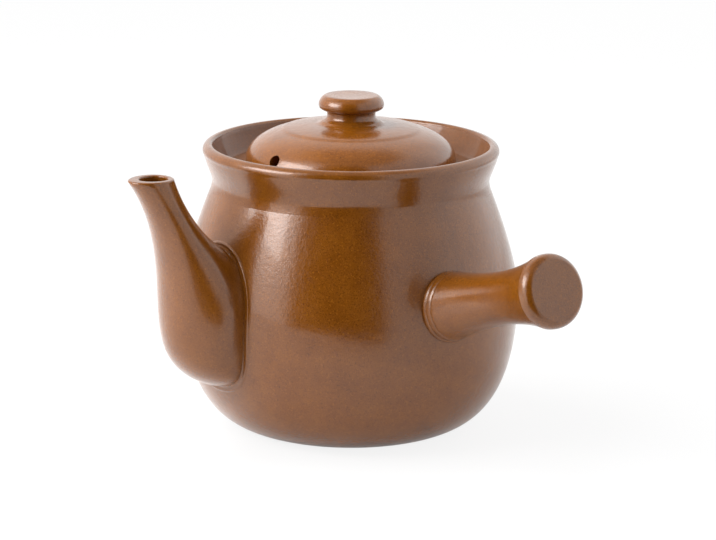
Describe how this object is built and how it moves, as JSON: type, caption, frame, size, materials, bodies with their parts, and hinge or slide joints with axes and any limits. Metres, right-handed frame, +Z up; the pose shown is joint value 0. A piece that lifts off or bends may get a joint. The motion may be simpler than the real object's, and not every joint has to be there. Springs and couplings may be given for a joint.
{
  "type": "clay cooking pot",
  "caption": "Round-bellied glazed clay pot with a pouring spout, a hollow side handle and a domed knobbed lid that lifts off.",
  "frame": {"origin": "centre of the foot, on the surface that the pot stands on", "axes": "+Z up along the pot's axis and the way the lid lifts, the spout points towards -X, the side handle towards -Y"},
  "size_m": [0.2389, 0.2789, 0.1872],
  "materials": {
    "glazed_clay": "glossy caramel-brown glaze",
    "glazed_lid": "glossy caramel-brown glaze",
    "bare_clay": "unglazed fired clay, matt"
  },
  "bodies": {
    "pot": {"vessel": "glazed_clay", "collar": "glazed_clay", "spout": "glazed_clay", "handle": "glazed_clay", "handle_end_cap": "glazed_clay"},
    "lid": {"lid": "glazed_lid", "lid_flange": "bare_clay", "knob": "glazed_lid"}
  },
  "joints": [
    {"name": "lid_lift", "type": "slide", "parent": "pot", "child": "lid", "axis": [0, 0, 1], "range_m": [0, 0.08]}
  ]
}
